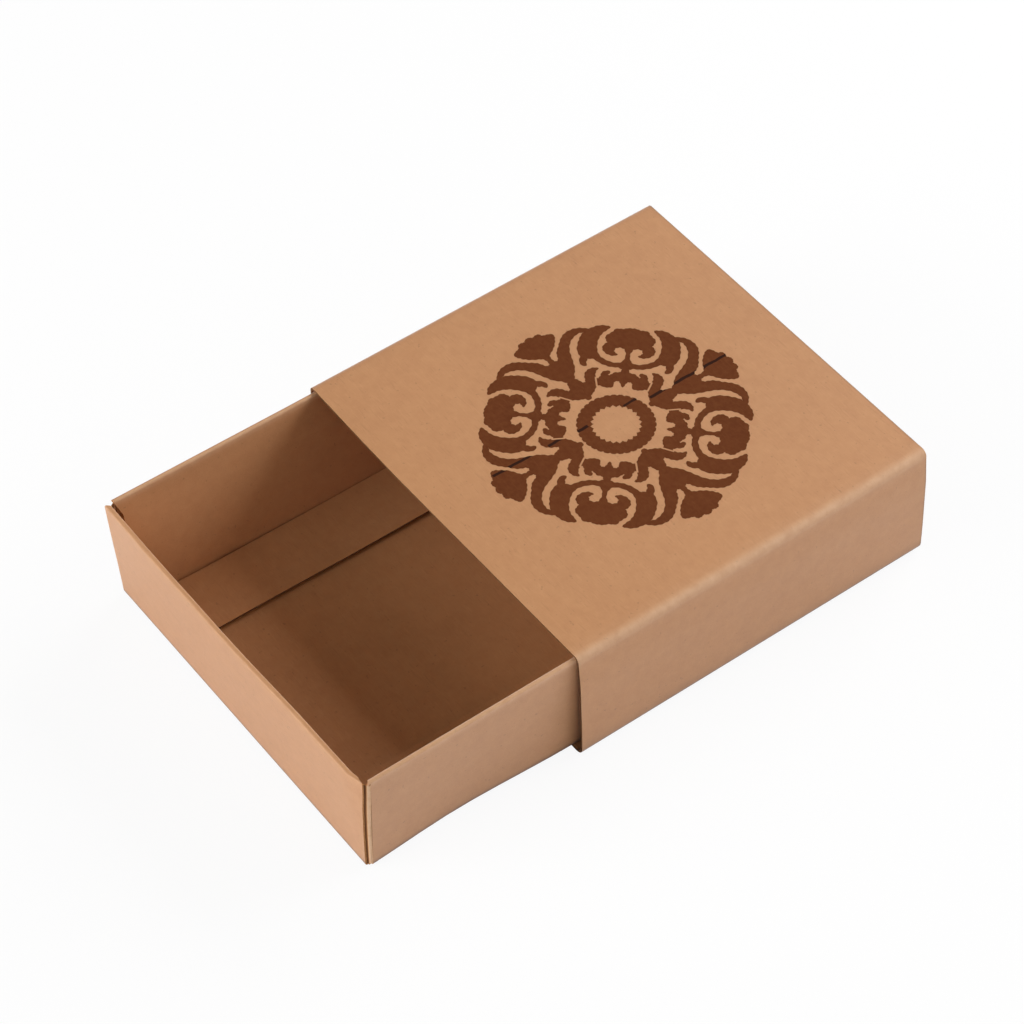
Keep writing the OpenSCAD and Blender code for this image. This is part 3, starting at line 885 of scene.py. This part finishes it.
def bendTray():
    front, foot = trayPlace.y, trayPlace.z
    back, top = front + tray["length"], foot + tray["height"]
    middle, halfway = (front + back) / 2, tray["height"] / 2

    # the free edges of the floor's flaps curl up a little, most of all in the middle
    flapTop = foot + floorFlap["top"]
    for piece, (creaseX, freeX) in ((leftFloorFlap, bends["leftFloorFlap"]),
                                    (rightFloorFlap, bends["rightFloorFlap"])):
        warp([piece], (min(creaseX, freeX), front + floorFlap["endGap"], flapTop - boardThickness),
             (max(creaseX, freeX), back - floorFlap["endGap"], flapTop), (4, 5, 2),
             lambda p: (0, 0, floorFlap["curl"] * ((p.x - creaseX) / (freeX - creaseX)) ** 2
                        * (1 if abs(p.y - middle) < floorFlap["curlMiddle"] else floorFlap["curlAtEnds"])))

    # the left inner wall stands less slanted at the front than at the mouth
    (leftX, rightX), (lower, upper) = bends["leftInnerWall"], bends["leftInnerHeights"]
    slant = steps([front, middle, back], bends["leftInnerFoot"])
    for piece, share in ((trayBoard, 1), (leftFloorFlap, bends["creaseSideShare"])):
        warp([piece], (leftX, front, lower), (rightX, back, upper), (5, 3, 2),
             lambda p: (slant(p.y) * (share if p.x < bends["onCreaseSide"] else 1), 0, 0)
             if p.z < halfway and leftX + rowGap < p.x < rightX - rowGap else (0, 0, 0), "KEY_LINEAR")

    # the sides lean out to the left at the front
    w = tray["halfWidth"]
    sides = {(side, end): steps([front, bends["mouth"], back], bends[side + end])
             for side in ("left", "right") for end in ("Foot", "Top")}
    warp([trayBoard, frontWall, frontRightFlap, frontLeftFlap], (trayPlace.x - w, front, foot),
         (trayPlace.x + w, back, top), (2, 3, 2),
         lambda p: (sides["right" if p.x > 0 else "left", "Top" if p.z > halfway else "Foot"](p.y), 0, 0),
         "KEY_LINEAR")

    # the right side's outer sheet stands in at its foot, most between the front and the mouth
    innerX, outerX = bends["rightOuterWall"]
    footStep = steps(*bends["rightOuterFoot"])
    warp([trayBoard, frontWall, frontRightFlap], (innerX, front, foot), (outerX, back, top), (2, 5, 2),
         lambda p: (footStep(p.y) if p.x > innerX + rowGap and p.z < halfway else 0, 0, 0))

    # the front leans out at its top, and its sheets are pressed together there
    leftX, rightX = bends["frontWall"]
    lean = steps(*bends["frontLean"])
    warp([frontWall, frontRightFlap, frontLeftFlap], (leftX, front, foot),
         (rightX, front + endWall["rim"], top), (9, 2, 2),
         lambda p: (0, lean(p.x) - (bends["press"] if p.y > front + rowGap else 0), 0)
         if p.z > halfway else (0, 0, 0))

    # its right end comes back to the corner, and the corner flaps stay on the sides' front edges
    outside, inside = bends["endDepth"]
    for piece, (places, moves) in ((frontWall, bends["frontWallEnd"]),
                                   (frontRightFlap, bends["rightFlapEnd"]),
                                   (frontLeftFlap, bends["leftFlapEnd"])):
        backAt = steps(places, moves)
        warp([piece], (places[0], outside, foot), (places[-1], inside, top), (5, 2, 2),
             lambda p: (0, backAt(p.x) if p.z > halfway else 0, 0), "KEY_LINEAR")


print("Bending the tray's walls as they stand")
bendTray()
for piece, body in ((trayBoard, "tray"), (frontWall, "tray"), (backWall, "tray"), (frontRightFlap, "tray"),
                    (frontLeftFlap, "tray"), (backLeftFlap, "tray"), (backRightFlap, "tray"),
                    (rightFloorFlap, "right_floor_flap"), (leftFloorFlap, "left_floor_flap")):
    smooth(piece)
    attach(piece, body)
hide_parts("tray_floor", "tray_right_outer_wall", "tray_right_rim", "tray_right_inner_wall",
            "tray_left_outer_wall", "tray_left_rim", "tray_left_inner_wall")
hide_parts("tray_front_outer_wall", "tray_front_rim", "tray_front_inner_wall")
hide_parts("tray_back_outer_wall", "tray_back_rim", "tray_back_inner_wall")
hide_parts("front_right_corner_flap")
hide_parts("front_left_corner_flap")
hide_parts("back_right_corner_flap")
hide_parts("back_left_corner_flap")
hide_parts("tray_right_floor_flap")
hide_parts("tray_left_floor_flap")


studio = {
    "floorSize": 4,  # m
    "floorDrop": 0.1,  # mm under the box
    "floorColour": (0.9, 0.9, 0.9, 1), "fleckColour": (0.84, 0.84, 0.84, 1),
    "fleckSize": 3, "fleckShare": 0.04,  # the size in mm
    "floorShare": 0.085,  # how much of the lit floor the camera sees; the rest is white
    "skyStrength": 0.06,
    "aim": Vector((0, -0.02, 0.015)), "distance": 1.2,  # m, where the soft boxes point, and from how far
    # each soft box: its turn round the box and its height in degrees, its size in m and its power
    "softBoxes": {
        "frontSoftBox": (-110, 16, 0.8, 0.7, 12.6),
        "topSoftBox": (-90, 50, 1.0, 0.6, 2.8),
        "backSoftBox": (90, 29, 1.2, 0.8, 18.0),
        "sideSoftBox": (42, 24, 0.8, 0.5, 2.65),
        "rightSoftBox": (-8, 18, 0.8, 0.5, 1.8),
    },
}


def buildFloor():
    bpy.ops.object.select_all(action="DESELECT")
    bpy.ops.mesh.primitive_plane_add(size=studio["floorSize"])
    ground = bpy.context.object
    ground.name = ground.data.name = "studioFloor"
    material, paint = newFinish("paleFloor")
    fleck = paint.noise(paint.place(), studio["fleckSize"])
    colour = paint.blend(fleck * studio["fleckShare"], studio["floorColour"], studio["fleckColour"])
    matt = paint.node("ShaderNodeBsdfDiffuse", {}, {"Color": colour})
    seen = paint.node("ShaderNodeLightPath", output="Is Camera Ray")
    white = paint.node("ShaderNodeEmission", {}, {"Color": (1, 1, 1, 1), "Strength": 1})
    both = paint.node("ShaderNodeMixShader", {}, {0: seen * (1 - studio["floorShare"]), 1: matt, 2: white})
    paint.node("ShaderNodeOutputMaterial", {}, {"Surface": both})
    ground.data.materials.append(material)
    placePiece(ground, (0, 0, -studio["floorDrop"]))


def buildLight():
    world = bpy.data.worlds.new("studioSky")
    bpy.context.scene.world = world
    world.use_nodes = True
    paint = Paint(world.node_tree)
    seen = paint.node("ShaderNodeLightPath", output="Is Camera Ray")
    strength = seen * (1 - studio["skyStrength"]) + studio["skyStrength"]
    sky = paint.node("ShaderNodeBackground", {}, {"Color": (1, 1, 1, 1), "Strength": strength})
    paint.node("ShaderNodeOutputWorld", {}, {"Surface": sky})
    for name, (turn, rise, width, height, power) in studio["softBoxes"].items():
        turn, rise = math.radians(turn), math.radians(rise)
        way = Vector((math.cos(turn) * math.cos(rise), math.sin(turn) * math.cos(rise), math.sin(rise)))
        bpy.ops.object.light_add(type="AREA", location=studio["aim"] + way * studio["distance"],
                                 rotation=way.to_track_quat("Z", "Y").to_euler())
        lamp = bpy.context.object
        lamp.name = lamp.data.name = name
        lamp.data.shape = "RECTANGLE"
        lamp.data.size, lamp.data.size_y = width, height
        lamp.data.energy = power
        lamp.visible_camera = False


camera = {
    "location": (0.40977462, -0.32738177, 0.60400468), "turn": (40.98528, 0.64384, 53.21586),
    "lens": 122.1446, "sensor": 36, "clipStart": 0.01,
}


def buildCamera():
    bpy.ops.object.camera_add(location=camera["location"], rotation=[math.radians(a) for a in camera["turn"]])
    eye = bpy.context.object
    eye.name = eye.data.name = "camera"
    eye.data.sensor_width = camera["sensor"]
    eye.data.lens = camera["lens"]
    eye.data.clip_start = camera["clipStart"]
    bpy.context.scene.camera = eye


print("Setting up the studio")
buildFloor()
buildLight()
buildCamera()
bpy.context.scene.view_settings.view_transform = "Standard"
